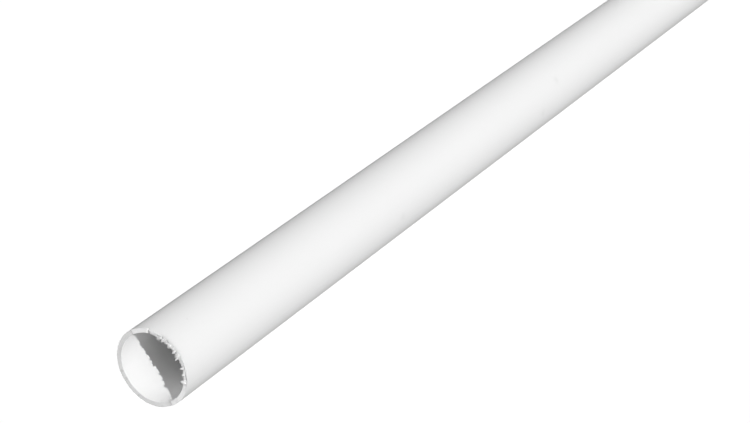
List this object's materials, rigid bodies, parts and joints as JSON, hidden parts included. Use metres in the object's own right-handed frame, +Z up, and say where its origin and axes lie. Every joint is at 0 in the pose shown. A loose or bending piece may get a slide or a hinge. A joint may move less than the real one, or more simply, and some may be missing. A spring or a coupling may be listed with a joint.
{
  "type": "pvc conduit pipe",
  "caption": "Straight round smooth-walled rigid plastic tube, sawn off square at both ends, that holds and protects electrical cables.",
  "frame": {"origin": "on the pipe's axis, in the plane of the first saw cut at the near end; a broken lip of the wall stands 0.75 mm out in front of it", "axes": "+X along the pipe to its far end, +Z up as the pipe lies on the floor"},
  "size_m": [3.0008, 0.02, 0.02],
  "materials": {
    "white_pvc": "satin"
  },
  "bodies": {
    "root": {"conduit_pipe": "white_pvc"}
  },
  "joints": []
}
